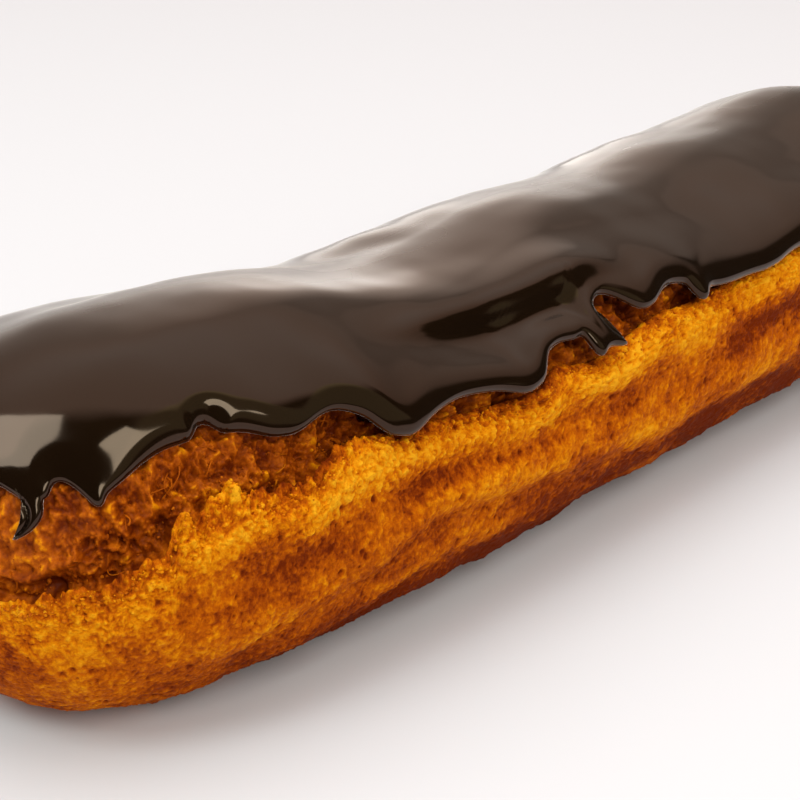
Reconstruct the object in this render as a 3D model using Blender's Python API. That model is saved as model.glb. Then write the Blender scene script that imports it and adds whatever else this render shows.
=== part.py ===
"""Chocolate eclair: a finger of choux pastry with thick chocolate icing over its back.

The eclair lies along X on its flat base, with its burst side towards -Y and its burst end at -X.
Both pieces are worked out from one body: a spine that bends a little, an outline in height and
in width, and a section that is rounder than an ellipse and cut flat where it rests.
A point of the body is named by its place along X and by an angle that starts at the front's
widest line and climbs over the top to the back.  The choux steps in above a shoulder ledge,
where its crust has split, and the icing is a shell over the step that ends in a round rim.
"""

import math

import bpy
import numpy as np

MM = 0.001

# The body, in metres
LENGTH = 150 * MM
NOSE_LENGTH = 22 * MM
NOSE_POWER = 2.3
HALF_WIDTH = 20.2 * MM
WIDEST_HEIGHT = 16.5 * MM
BELLY_DEPTH = 19.0 * MM
SECTION_POWER = 2.15

# Smooth curves through (place along X, value), in millimetres
CROWN = ((-75, 34.2), (-52, 35.3), (-38, 34.9), (-22, 31.4), (-8, 32.0), (1, 33.0), (20, 32.0),
         (32, 33.3), (42, 33.3), (64, 36.2), (75, 37.2))
SPINE = ((-75, 4.4), (-62, 2.9), (-50, 0.9), (-36, -0.2), (-20, -0.6), (30, -0.4), (75, -0.2))
LEDGE = ((-75, 16.8), (-68, 18.0), (-62, 20.2), (-59, 23.2), (-48, 23.2), (-38, 24.0),
         (-17, 23.4), (0, 25.0), (30, 25.2), (56, 24.6), (75, 22.0))
BACK_LEDGE = ((-75, 22.0), (-58, 23.6), (-40, 24.2), (-10, 23.6), (25, 24.2), (56, 24.0), (75, 22.0))

# The shoulder ledge and the burst above it
ICING_THICKNESS = 2.4 * MM
LEDGE_WIDTH = math.radians(4)
BURST_DEPTH = 3.2 * MM
BURST_PLACE = -62 * MM
BURST_REACH = 24 * MM
BURST_HEIGHT = math.radians(14)

# Lengthwise flutes that the piping nozzle leaves, and slow lumps
FLUTE_DEPTH = 0.35 * MM
FLUTE_PITCH = math.radians(23)
FLUTE_CLIMB = math.radians(0.19)
LUMP_HEIGHT = 0.35 * MM

# The icing's edge.  Each wave is (place, drop, half width, lean) in millimetres:
# a drop above zero is a drip, below zero a bay, and the lean carries its tip along X.
GAP = 0.4 * MM
ICING_CLEARANCE = math.radians(5)
ICING_SETTLE = math.radians(9)
DRIP_THICKNESS = 1.5 * MM
FRONT_EDGE = ((-75, 25.0), (-68, 28.0), (-62, 29.0), (-52, 30.0), (-42, 28.2), (-34, 26.2), (-17, 25.0),
              (0, 26.2), (30, 26.0), (60, 26.0), (75, 24.5))
FRONT_WAVES = ((-69.2, 4.2, 1.1, 0.0), (-64.7, 2.8, 1.6, 0.3), (-53.4, -1.2, 1.1, 0.0),
               (-47.6, 1.3, 2.6, 0.0), (-42.5, -0.7, 1.6, 0.0), (-36.4, 0.8, 2.4, 0.3),
               (-19.5, 1.4, 4.6, 0.5), (-11.5, -1.2, 2.0, 0.0), (-6.6, 2.6, 1.3, 0.6),
               (-4.6, 3.4, 1.4, 1.4), (2.2, -0.4, 2.6, 0.0), (7.2, -1.2, 1.4, 0.0),
               (9.8, 1.4, 1.2, 0.0), (24.0, 0.6, 5.0, 0.0), (45.0, 1.6, 3.0, 0.4),
               (58.0, -0.9, 3.0, 0.0), (66.0, 1.4, 2.0, 0.0))
BACK_EDGE = ((-75, 25.0), (-66, 26.6), (-52, 27.0), (-32, 25.4), (-8, 26.4), (18, 25.2), (44, 26.6),
             (62, 26.2), (75, 24.5))
BACK_WAVES = ((-60.0, 2.0, 2.2, 0.0), (-48.0, -0.9, 2.6, 0.0), (-39.0, 2.6, 1.9, 0.5),
              (-22.0, 1.3, 3.0, 0.0), (-12.0, -1.0, 2.0, 0.0), (3.0, 2.4, 2.0, -0.4),
              (22.0, 1.6, 3.4, 0.0), (36.0, -0.8, 2.2, 0.0), (52.0, 3.0, 1.8, 0.4),
              (64.0, 1.2, 2.2, 0.0))
WAVE_POWER = 2.6
RIM_REACH = 1.8 * MM
RIM_BEAD = 0.45 * MM
LEAN_SHARE = 0.16

# Mesh fineness: rings along X, rows round the section, degrees and rows of each stretch
NOSE_RINGS = 8
CHOUX_SPACING = 2.4 * MM
CHOUX_STRETCHES = ((-62, 34, 15), (34, 146, 8), (146, 242, 14), (242, 298, 4))
ICING_RINGS = 92
ICING_ROWS = 17
UNDER_ROWS = 6
WAVE_CROWDING = 2.2

CRUST_COLOUR = (0.52, 0.20, 0.015, 1.0)
CRUST_ROUGHNESS = 0.62
ICING_COLOUR = (0.022, 0.010, 0.006, 1.0)
ICING_ROUGHNESS = 0.08


def clear_objects():
    """Remove whatever the file already holds."""
    for item in list(bpy.data.objects):
        bpy.data.objects.remove(item, do_unlink=True)


def make_material(name, colour, roughness):
    """A plain Principled material."""
    material = bpy.data.materials.new(name)
    material.use_nodes = True
    shader = material.node_tree.nodes["Principled BSDF"]
    shader.inputs["Base Color"].default_value = colour
    shader.inputs["Roughness"].default_value = roughness
    shader.inputs["Metallic"].default_value = 0.0
    return material


def curve(x, points):
    """Smooth cubic through the points, which are in millimetres; x and the answer in metres."""
    places, values = np.array(points, dtype=float).T * MM
    slopes = np.gradient(values, places)
    x = np.clip(x, places[0], places[-1])
    left = np.clip(np.searchsorted(places, x) - 1, 0, len(places) - 2)
    span = places[left + 1] - places[left]
    t = (x - places[left]) / span
    return ((2 * t**3 - 3 * t**2 + 1) * values[left] + (t**3 - 2 * t**2 + t) * span * slopes[left]
            + (3 * t**2 - 2 * t**3) * values[left + 1] + (t**3 - t**2) * span * slopes[left + 1])


def ramp(t):
    """0 below 0, 1 above 1 and a smooth rise between."""
    t = np.clip(t, 0.0, 1.0)
    return t * t * (3.0 - 2.0 * t)


def hump(x, place, reach, steepness=2.0):
    """A smooth bump of height 1 at its place; a steeper one has a flatter top."""
    return np.exp(-np.abs((x - place) / reach) ** steepness)


def power(value, exponent):
    """A power that keeps the sign."""
    return np.sign(value) * np.abs(value) ** exponent


def fullness(x):
    """How much of the full section is left at x: 1 along the middle, 0 at the two tips."""
    past = np.clip((np.abs(x) - (LENGTH / 2 - NOSE_LENGTH)) / NOSE_LENGTH, 0.0, 1.0)
    return (1.0 - past**NOSE_POWER) ** (1.0 / NOSE_POWER)


def body_point(x, angle):
    """The plain body: a superellipse about the spine, scaled down to nothing at the tips."""
    full = fullness(x)
    across = power(np.cos(angle), 2 / SECTION_POWER)
    up = power(np.sin(angle), 2 / SECTION_POWER)
    height = np.where(up > 0, curve(x, CROWN) - WIDEST_HEIGHT, BELLY_DEPTH)
    y = curve(x, SPINE) - HALF_WIDTH * full * across
    z = WIDEST_HEIGHT + height * full * up
    return np.stack([x + 0.0 * y, y, z], axis=-1)


def body_normal(x, angle):
    """Outward direction of the plain body, from its slopes along X and round the section."""
    step = 1e-4
    inner = np.clip(x, -LENGTH / 2 + 3 * step * LENGTH, LENGTH / 2 - 3 * step * LENGTH)
    along = body_point(inner + step * LENGTH, angle) - body_point(inner - step * LENGTH, angle)
    round_it = body_point(inner, angle + step) - body_point(inner, angle - step)
    normal = np.cross(along, round_it)
    return normal / np.linalg.norm(normal, axis=-1, keepdims=True)


def raised(x, angle, height):
    """A point that stands off the plain body by a height."""
    return body_point(x, angle) + body_normal(x, angle) * height[..., None]


def angle_at_height(x, height):
    """The front angle at which the body's upper half reaches a height above the base."""
    room = (curve(x, CROWN) - WIDEST_HEIGHT) * np.maximum(fullness(x), 1e-6)
    share = np.clip((height - WIDEST_HEIGHT) / room, 0.0, 1.0)
    return np.arcsin(share ** (SECTION_POWER / 2))


def step_in(x, angle, clearance=0.0, width=LEDGE_WIDTH):
    """0 on the crust, 1 above both ledges, where the choux is lower by the icing's thickness."""
    front = angle_at_height(x, curve(x, LEDGE)) + clearance
    back = math.pi - angle_at_height(x, curve(x, BACK_LEDGE)) - clearance
    return ramp((angle - front) / width) * ramp((back - angle) / width)


def choux_height(x, angle):
    """How far the choux stands off the plain body: ledge, burst, flutes and lumps."""
    full = fullness(x)
    front = angle_at_height(x, curve(x, LEDGE))
    burst_middle = front + BURST_HEIGHT
    burst = hump(x, BURST_PLACE, BURST_REACH, 4.0) * hump(angle, burst_middle, BURST_HEIGHT, 4.0)
    burst = burst * ramp((angle - front) / LEDGE_WIDTH)
    drift = FLUTE_CLIMB * x / MM
    flutes = np.cos(2 * math.pi * (angle - front - drift) / FLUTE_PITCH)
    lumps = np.sin(x / (7 * MM) + 2.0 * angle) + np.sin(x / (4.3 * MM) - 3.0 * angle + 1.0)
    crust = 1.0 - step_in(x, angle)
    flutes = FLUTE_DEPTH * (flutes - 1.0) * ramp(2.0 * full - 1.0)
    relief = (flutes + 0.5 * LUMP_HEIGHT * (lumps - 2.0)) * crust
    return (relief - ICING_THICKNESS * step_in(x, angle) - BURST_DEPTH * burst) * full


def edge_height(x, line, waves):
    """Height of the icing's edge above the base: a smooth line less its drips and bays."""
    height = curve(x, line)
    for place, drop, half_width, _ in waves:
        height = height - drop * MM * hump(x, place * MM, half_width * MM, WAVE_POWER)
    return height


def edge_lean(x, waves):
    """How far the drips carry the edge along X."""
    lean = np.zeros_like(x)
    for place, _, half_width, shift in waves:
        lean = lean + shift * MM * hump(x, place * MM, half_width * MM, WAVE_POWER)
    return lean


def ring_places():
    """Places of the choux's rings: close together round the noses, even along the middle."""
    middle = LENGTH / 2 - NOSE_LENGTH
    turn = np.linspace(0.0, math.pi / 2, NOSE_RINGS + 1)[1:]
    nose = middle + NOSE_LENGTH * np.sin(turn)
    count = round(2 * middle / CHOUX_SPACING)
    straight = np.linspace(-middle, middle, count + 1)
    return np.concatenate([-nose[::-1], straight, nose])[1:-1]


def choux_angles(x):
    """Angles of the choux's rows at each ring, pulled so that one row runs along the ledge."""
    rows = [np.linspace(low, high, count, endpoint=False) for low, high, count in CHOUX_STRETCHES]
    rows = np.radians(np.concatenate(rows))
    ledge = angle_at_height(x, curve(x, LEDGE))[:, None]
    nearest = rows[np.argmin(np.abs(rows - math.radians(20)))]
    return rows + (ledge - nearest) * hump(rows, nearest, math.radians(40))


def loft(name, rings, tips, material):
    """Close a stack of equal rings with a tip at each end, faces out, and make it an object."""
    count, rows, _ = rings.shape
    points = np.concatenate([rings.reshape(-1, 3), np.array(tips)])
    first = np.arange(count * rows).reshape(count, rows)
    after = np.roll(first, -1, axis=1)
    faces = np.stack([first[:-1], first[1:], after[1:], after[:-1]], axis=-1).reshape(-1, 4).tolist()
    start, end = len(points) - 2, len(points) - 1
    faces += [(start, a, b) for a, b in zip(first[0], after[0])]
    faces += [(end, b, a) for a, b in zip(first[-1], after[-1])]
    mesh = bpy.data.meshes.new(name)
    mesh.from_pydata(points.tolist(), [], faces)
    mesh.validate()
    mesh.materials.append(material)
    mesh.shade_smooth()
    item = bpy.data.objects.new(name, mesh)
    bpy.context.scene.collection.objects.link(item)
    return item


def make_choux():
    """The pastry finger: rings round the spine, pressed flat where it rests."""
    x = ring_places()
    angle = choux_angles(x)
    along = np.repeat(x[:, None], angle.shape[1], axis=1)
    rings = raised(along, angle, choux_height(along, angle))
    rings[..., 2] = np.maximum(rings[..., 2], 0.0)
    ends = np.array([-LENGTH / 2, LENGTH / 2])
    tips = body_point(ends, np.zeros(2))
    return loft("choux", rings, tips, make_material("choux crust", CRUST_COLOUR, CRUST_ROUGHNESS))


def icing_end(side):
    """Place where the crown comes down to the icing's edge on the nose at -X (-1) or +X (1)."""
    tip = side * LENGTH / 2
    room = curve(tip, CROWN) - WIDEST_HEIGHT
    share = (curve(tip, FRONT_EDGE) - WIDEST_HEIGHT) / room
    past = (1.0 - share**NOSE_POWER) ** (1.0 / NOSE_POWER)
    return side * (LENGTH / 2 - NOSE_LENGTH + NOSE_LENGTH * past)


def icing_places():
    """Places of the icing's rings, crowded at its ends and at its waves, and the two ends."""
    low, high = icing_end(-1), icing_end(1)
    x = np.linspace(low, high, 2001)
    crowd = 1.0 + 12.0 * hump(x, low, 1.5 * MM) + 12.0 * hump(x, high, 1.5 * MM)
    for place, drop, half_width, _ in FRONT_WAVES + BACK_WAVES:
        steepness = min(abs(drop) / half_width, 2.0)
        crowd = crowd + WAVE_CROWDING * steepness * hump(x, place * MM, 1.5 * half_width * MM)
    total = np.cumsum(crowd)
    share = np.linspace(total[0], total[-1], ICING_RINGS + 2)[1:-1]
    return np.interp(share, total, x), (low, high)


def icing_section(x, share, depth):
    """Icing points at a share of the way from front edge to back edge.

    depth 1 is the outer face and 0 the face that lies on the choux.  Near the edge both faces
    draw together into a round rim: the shell's half thickness follows a quarter of an ellipse.
    """
    front = angle_at_height(x, edge_height(x, FRONT_EDGE, FRONT_WAVES))
    back = math.pi - angle_at_height(x, edge_height(x, BACK_EDGE, BACK_WAVES))
    angle = front + (back - front) * share
    nose_room = np.maximum(np.minimum(x - icing_end(-1), icing_end(1) - x), 1e-6) * 2.0
    side_room = np.maximum(HALF_WIDTH * (back - front) * np.minimum(share, 1.0 - share), 1e-6)
    room = 1.0 / np.sqrt(1.0 / nose_room**2 + 1.0 / side_room**2)
    closing = 1.0 - np.clip(room / RIM_REACH, 0.0, 1.0)
    lean = (edge_lean(x, FRONT_WAVES) * ramp(1.0 - share / LEAN_SHARE)
            + edge_lean(x, BACK_WAVES) * ramp(1.0 - (1.0 - share) / LEAN_SHARE))
    x = x + lean
    settled = step_in(x, angle, ICING_CLEARANCE, ICING_SETTLE) * fullness(x)
    thickness = DRIP_THICKNESS + (ICING_THICKNESS - DRIP_THICKNESS) * settled
    middle = GAP - ICING_THICKNESS * settled + thickness / 2
    half = thickness / 2 * np.sqrt(1.0 - closing**2)
    bead = RIM_BEAD * hump(room, RIM_REACH, RIM_REACH) * fullness(x)
    return raised(x, angle, middle + (2.0 * depth - 1.0) * half + depth * bead)


def icing_shares():
    """Shares and faces of the points round one ring: out over the outer face, back under it."""
    turn = np.linspace(0.0, math.pi, ICING_ROWS)
    outer = 0.5 * (1.0 - np.cos(turn))
    under = np.linspace(1.0, 0.0, UNDER_ROWS + 2)[1:-1]
    shares = np.concatenate([outer, under])
    depth = np.concatenate([np.ones(ICING_ROWS), np.zeros(UNDER_ROWS)])
    return shares, depth


def make_icing():
    """The icing: a closed shell over the choux's back with a wavy, dripping edge."""
    x, ends = icing_places()
    shares, depth = icing_shares()
    along = np.repeat(x[:, None], len(shares), axis=1)
    rings = icing_section(along, shares + 0.0 * along, depth + 0.0 * along)
    tips = [icing_section(np.array([end]), np.array([0.5]), np.array([0.5]))[0] for end in ends]
    return loft("icing", rings, tips, make_material("icing", ICING_COLOUR, ICING_ROUGHNESS))


clear_objects()
make_choux()
make_icing()
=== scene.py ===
"""Chocolate eclair: the looks.

The eclair lies along X on its flat base, its burst side towards -Y and its burst end at -X.
Every piece is worked out from one plain body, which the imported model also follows.  A point of
the body is named by its place along X and an angle that starts at the front's widest line and
climbs over the top to the back, and a piece stands off the body by a height.
"""

import math

import bpy
import numpy as np
from bpy.props import FloatProperty, FloatVectorProperty, IntProperty, PointerProperty
from mathutils import Matrix, Vector


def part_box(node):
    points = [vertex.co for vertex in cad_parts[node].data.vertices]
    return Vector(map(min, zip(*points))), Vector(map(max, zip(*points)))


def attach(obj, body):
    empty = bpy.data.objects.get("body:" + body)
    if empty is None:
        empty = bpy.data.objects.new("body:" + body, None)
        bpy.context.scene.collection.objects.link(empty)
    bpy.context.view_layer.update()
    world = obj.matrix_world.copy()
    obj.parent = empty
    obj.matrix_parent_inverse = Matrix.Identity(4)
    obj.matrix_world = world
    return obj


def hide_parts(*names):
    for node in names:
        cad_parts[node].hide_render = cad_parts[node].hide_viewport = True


bl_info = {
    "name": "Chocolate Eclair",
    "version": (1, 0, 0),
    "blender": (4, 5, 0),
    "location": "3D View > Sidebar > Eclair",
    "description": "Makes the crust, the torn crumb, the icing and the stage of a chocolate eclair",
    "category": "Object",
}

MM = 0.001
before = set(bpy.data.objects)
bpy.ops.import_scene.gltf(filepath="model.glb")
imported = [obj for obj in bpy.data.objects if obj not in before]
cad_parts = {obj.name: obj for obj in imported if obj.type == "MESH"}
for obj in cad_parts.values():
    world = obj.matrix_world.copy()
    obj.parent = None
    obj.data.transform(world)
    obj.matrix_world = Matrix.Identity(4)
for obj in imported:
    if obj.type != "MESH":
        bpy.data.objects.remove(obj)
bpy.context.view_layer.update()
CHOUX_LOW, CHOUX_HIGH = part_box("choux")

# The plain body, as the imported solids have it
LENGTH = CHOUX_HIGH[0] - CHOUX_LOW[0]
NOSE_LENGTH = 22 * MM
NOSE_POWER = 2.3
HALF_WIDTH = 20.2 * MM
WIDEST_HEIGHT = 16.5 * MM
BELLY_DEPTH = 19.0 * MM
SECTION_POWER = 2.15
ICING_THICKNESS = 2.4 * MM

# Smooth curves through (place along X, value), in millimetres: height of the top line, sideways bend of
# the spine, height of the ridge along the front, and height of the torn lip on the back
CROWN = ((-75, 34.2), (-52, 35.3), (-38, 34.9), (-22, 31.4), (-8, 32.0), (1, 33.0), (20, 32.0),
         (32, 33.3), (42, 33.3), (64, 36.2), (75, 37.2))
SPINE = ((-75, 4.4), (-62, 2.9), (-50, 0.9), (-36, -0.2), (-20, -0.6), (30, -0.4), (75, -0.2))
RIDGE = ((-75, 11.0), (-62, 11.2), (-54, 11.6), (-50, 12.2), (-41, 13.7), (-31, 16.6), (-20, 14.9),
         (-7, 13.7), (8, 12.5), (20, 13.0), (30, 13.0), (75, 13.0))
BACK_LEDGE = ((-75, 25.0), (-66, 26.4), (-52, 27.2), (-32, 26.0), (-8, 26.8), (18, 25.8), (44, 27.0),
              (62, 26.6), (75, 24.5))

# The torn lip of the crust, and its tufts and notches: (place, rise, width before it, width after it)
LIP = ((-75, 30.0), (-74.4, 25.5), (-74, 23.0), (-73.4, 20.0), (-72.6, 18.2), (-72, 17.9), (-68, 18.7),
       (-65, 19.5), (-62, 20.9), (-60.6, 21.3), (-59.4, 23.6),
       (-58, 24.0), (-56, 24.6), (-54, 25.0), (-52, 24.3), (-48, 23.8), (-46, 23.9), (-44.5, 24.8),
       (-42, 25.4), (-38, 25.3), (-34, 24.7), (-30, 24.4), (-25, 23.6), (-20, 23.1), (-15.5, 23.0),
       (-13, 24.2), (-9.5, 23.5), (-6, 23.4), (-2, 24.0), (1, 24.6), (10, 24.6), (30, 25.2), (56, 24.8),
       (68, 25.0), (75, 24.4))
TUFTS = ((-71.4, 0.5, 0.4, 0.3), (-69.5, 0.6, 0.4, 0.3), (-67.6, 0.6, 0.8, 0.5), (-66.2, -0.4, 0.4, 0.3),
         (-58.6, 0.9, 0.6, 0.5), (-57.5, -1.2, 0.35, 0.5), (-55.9, 0.9, 0.4, 0.5), (-54.0, 1.4, 0.5, 0.6),
         (-52.5, -0.3, 0.5, 0.3), (-46.3, 0.8, 0.25, 0.3), (-45.4, -0.7, 0.3, 0.5), (-39.5, 0.3, 0.8, 0.6))

# The icing's edge, front and back: a smooth line, and the drips and bays that leave it.
# A drip is (place, drop, width before it, width after it, lean of its tip); a bay drops upwards.
FRONT_EDGE = ((-75, 25.2), (-71, 26.4), (-68, 26.9), (-66, 27.0), (-64, 27.1), (-62, 28.0), (-60, 29.0),
              (-58, 29.7), (-55, 30.0), (-51, 29.7), (-48, 29.0), (-45, 28.6), (-41.5, 28.6), (-38, 26.8),
              (-36, 26.0), (-28, 25.5), (-20, 24.5), (-13, 26.0), (-9.5, 26.0), (-7, 27.2), (-4.5, 28.2),
              (0, 26.6), (6, 27.0), (13, 25.2), (22, 24.9), (30, 25.4), (60, 25.4), (75, 24.2))
FRONT_DRIPS = ((-72.2, 2.0, 0.7, 0.7, 0.0), (-69.9, -1.0, 0.8, 0.8, 0.0), (-68.3, 3.2, 0.36, 0.36, -2.2),
               (-66.0, -1.3, 1.1, 0.9, 0.0), (-64.4, 0.7, 0.5, 0.8, 0.0),
               (-53.2, -0.9, 1.3, 0.9, 0.0), (-47.0, 0.6, 2.4, 2.4, 0.0), (-37.2, 1.3, 1.4, 3.8, 0.3),
               (-17.4, 1.2, 4.0, 1.8, 0.0), (-8.6, 1.6, 0.6, 0.5, 0.0), (-7.0, 3.2, 1.4, 0.6, 2.9),
               (1.0, 0.45, 2.5, 2.6, 0.0), (9.4, 1.5, 0.7, 1.8, 0.4), (24.0, 0.3, 4.0, 3.0, 0.0),
               (45.0, 1.8, 2.2, 2.6, 0.6), (57.0, -0.9, 3.0, 2.4, 0.0), (65.0, 1.8, 1.4, 2.0, 0.3))
BACK_EDGE = ((-75, 25.0), (-66, 26.6), (-52, 27.0), (-32, 25.4), (-8, 26.4), (18, 25.2), (44, 26.6),
             (62, 26.2), (75, 24.5))
BACK_DRIPS = ((-62.0, 2.6, 1.2, 2.2, 0.3), (-50.0, -0.9, 2.6, 2.0, 0.0), (-39.0, 3.2, 1.3, 1.9, 0.9),
              (-22.0, 1.3, 3.0, 2.0, 0.0), (-12.0, -1.0, 2.0, 1.6, 0.0), (3.0, 2.9, 1.1, 1.5, -0.5),
              (22.0, 1.6, 3.4, 2.4, 0.0), (36.0, -0.8, 2.2, 2.2, 0.0), (52.0, 3.3, 1.2, 1.7, 0.5),
              (65.0, 1.2, 2.0, 1.4, 0.0))
DRIP_POWER = 2.6

# Height of the bank above the icing's rounded rim
BANK = ((-75, 0.5), (-63, 0.4), (-59, 1.0), (-49, 1.0), (-43.5, 0.45), (-37, 0.8), (-31, 0.45),
        (-22, 0.75), (-10, 0.6), (10, 0.7), (75, 0.7))

# The icing lies down into the body by its thickness: this far in from its edge, and at the edge itself
# from the burst end up to a place, with a fade and up to an angle; a gap keeps it off the crust
ICING_DESCENT = 11.0 * MM
SETTLED_END, SETTLED_FADE = -31, 26
SETTLED_TOP, SETTLED_TURN = math.radians(120), math.radians(40)
GAP = 0.25 * MM


# ---------------------------------------------------------------- plain maths

def curve(x, points):
    """Smooth cubic through the points, which are in millimetres; x and the answer in metres."""
    places, values = np.array(points, dtype=float).T * MM
    slopes = np.gradient(values, places)
    x = np.clip(x, places[0], places[-1])
    left = np.clip(np.searchsorted(places, x) - 1, 0, len(places) - 2)
    span = places[left + 1] - places[left]
    t = (x - places[left]) / span
    return ((2 * t**3 - 3 * t**2 + 1) * values[left] + (t**3 - 2 * t**2 + t) * span * slopes[left]
            + (3 * t**2 - 2 * t**3) * values[left + 1] + (t**3 - t**2) * span * slopes[left + 1])


def ramp(t):
    """0 below 0, 1 above 1 and a smooth rise between."""
    t = np.clip(t, 0.0, 1.0)
    return t * t * (3.0 - 2.0 * t)


def below(value, limit, fade):
    """1 where a value is under a limit by a fade or more, 0 from the limit on; both in millimetres."""
    return ramp((limit * MM - value) / (fade * MM))


def unit(vectors):
    """Vectors cut to length 1."""
    return vectors / np.linalg.norm(vectors, axis=-1, keepdims=True)


def hump(x, place, reach, steepness=2.0):
    """A smooth bump of height 1 at its place; a steeper one has a flatter top."""
    return np.exp(-np.abs((x - place) / reach) ** steepness)


def quarter(t):
    """Height of a quarter circle that rises steeply at 0 and is level from 1 on."""
    return np.sqrt(1.0 - (1.0 - np.clip(t, 0.0, 1.0))**2)


def power(value, exponent):
    """A power that keeps the sign."""
    return np.sign(value) * np.abs(value) ** exponent


PRIMES = np.array((73856093, 19349663, 83492791), dtype=np.uint32)
WORD = 0xFFFFFFFF


def stirred(cell, seed):
    """A number from 0 to 1 for each lattice cell: its three indices times primes, and their bits mixed."""
    bits = np.bitwise_xor.reduce((cell & WORD).astype(np.uint32) * PRIMES, axis=-1)
    bits = (bits ^ np.uint32(seed * 2654435761 & WORD)) * np.uint32(1274126177)
    bits = (bits ^ (bits >> np.uint32(15))) * np.uint32(2246822519)
    bits = bits ^ (bits >> np.uint32(13))
    return bits.astype(np.float64) / (WORD + 1)


def stirred_point(cell, seed):
    """Three such numbers for each cell."""
    return np.stack([stirred(cell, seed + k) for k in (0, 101, 211)], axis=-1)


def noise(points, size, seed=1, stretch=(1, 1, 1)):
    """Gradient noise, about -1 to 1: at each lattice corner a slope, blended by smooth weights.

    A stretch under 1 draws the lumps out along that axis.
    """
    place = points * np.array(stretch) / size
    cell = np.floor(place).astype(np.int64)
    inside = place - cell
    blend = inside**3 * (inside * (inside * 6 - 15) + 10)
    total = np.zeros(points.shape[:-1])
    for corner in np.ndindex(2, 2, 2):
        corner = np.array(corner)
        slope = stirred_point(cell + corner, seed) * 2.0 - 1.0
        weight = np.prod(np.where(corner == 1, blend, 1.0 - blend), axis=-1)
        total += weight * np.sum(slope * (inside - corner), axis=-1)
    return total * 1.6


def rough(points, size, octaves=3, seed=1, stretch=(1, 1, 1)):
    """Noise added over octaves, each half the size and half the height of the last."""
    total = np.zeros(points.shape[:-1])
    for octave in range(octaves):
        total += noise(points, size / 2**octave, seed + 7 * octave, stretch) / 2**octave
    return total


def cells(points, size, seed=1, stretch=(1, 1, 1)):
    """One spot strewn in each lattice cell: the distances, in cell sizes, to the nearest spot and to the
    second nearest, and a number from 0 to 1 that belongs to the nearest."""
    place = points * np.array(stretch) / size
    cell = np.floor(place).astype(np.int64)
    inside = place - cell
    first = np.full(points.shape[:-1], 9.0)
    second, mark = first.copy(), first.copy()
    for corner in np.ndindex(3, 3, 3):
        corner = np.array(corner) - 1
        away = np.linalg.norm(corner + stirred_point(cell + corner, seed) - inside, axis=-1)
        second = np.minimum(second, np.maximum(first, away))
        mark = np.where(away < first, stirred(cell + corner, seed + 307), mark)
        first = np.minimum(first, away)
    return first, second, mark


# ---------------------------------------------------------------- the body

def fullness(x):
    """How much of the full section is left at x: 1 along the middle, 0 at the two tips."""
    past = np.clip((np.abs(x) - (LENGTH / 2 - NOSE_LENGTH)) / NOSE_LENGTH, 0.0, 1.0)
    return (1.0 - past**NOSE_POWER) ** (1.0 / NOSE_POWER)


def crown(x):
    """Height of the top line: its curve averaged over a short stretch, which takes its kinks out."""
    return sum(curve(x + reach * MM, CROWN) for reach in (-4, -2, 0, 2, 4)) / 5


def body_point(x, angle):
    """The plain body: a superellipse about the spine, scaled down to nothing at the tips."""
    full = fullness(x)
    across = power(np.cos(angle), 2 / SECTION_POWER)
    up = power(np.sin(angle), 2 / SECTION_POWER)
    height = np.where(up > 0, crown(x) - WIDEST_HEIGHT, BELLY_DEPTH)
    y = curve(x, SPINE) - HALF_WIDTH * full * across
    z = WIDEST_HEIGHT + height * full * up
    return np.stack([x + 0.0 * y, y, z], axis=-1)


def body_normal(x, angle):
    """Outward direction of the plain body, from its slopes along X and round the section."""
    step = 1e-4
    inner = np.clip(x, -LENGTH / 2 + 3 * step * LENGTH, LENGTH / 2 - 3 * step * LENGTH)
    along = body_point(inner + step * LENGTH, angle) - body_point(inner - step * LENGTH, angle)
    round_it = body_point(inner, angle + step) - body_point(inner, angle - step)
    return unit(np.cross(along, round_it))


def raised(x, angle, height):
    """A point that stands off the plain body by a height."""
    return body_point(x, angle) + body_normal(x, angle) * height[..., None]


def angle_at_height(x, height):
    """The front angle at which the body reaches a height above the base."""
    rise = height - WIDEST_HEIGHT
    room = np.where(rise > 0, crown(x) - WIDEST_HEIGHT, BELLY_DEPTH) * np.maximum(fullness(x), 1e-6)
    share = np.clip(rise / room, -1.0, 1.0)
    return np.arcsin(power(share, SECTION_POWER / 2))


def back_ledge(x):
    """Angle of the torn lip on the back."""
    return math.pi - angle_at_height(x, curve(x, BACK_LEDGE))


def heading_to(heading, pitch=0.0):
    """The direction of a heading from +X towards +Y and a pitch above the floor, both in degrees."""
    heading, pitch = math.radians(heading), math.radians(pitch)
    return Vector((math.cos(pitch) * math.cos(heading), math.cos(pitch) * math.sin(heading),
                   math.sin(pitch)))


def spread(low, high, count, crowd):
    """Places from low to high, closer together where the crowd function is higher."""
    x = np.linspace(low, high, 4001)
    total = np.cumsum(crowd(x))
    return np.interp(np.linspace(total[0], total[-1], count), total, x)


# ---------------------------------------------------------------- meshes and materials

def put_object(name, data):
    """An object of the scene, at the origin."""
    item = bpy.data.objects.new(name, data)
    bpy.context.scene.collection.objects.link(item)
    return item


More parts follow.
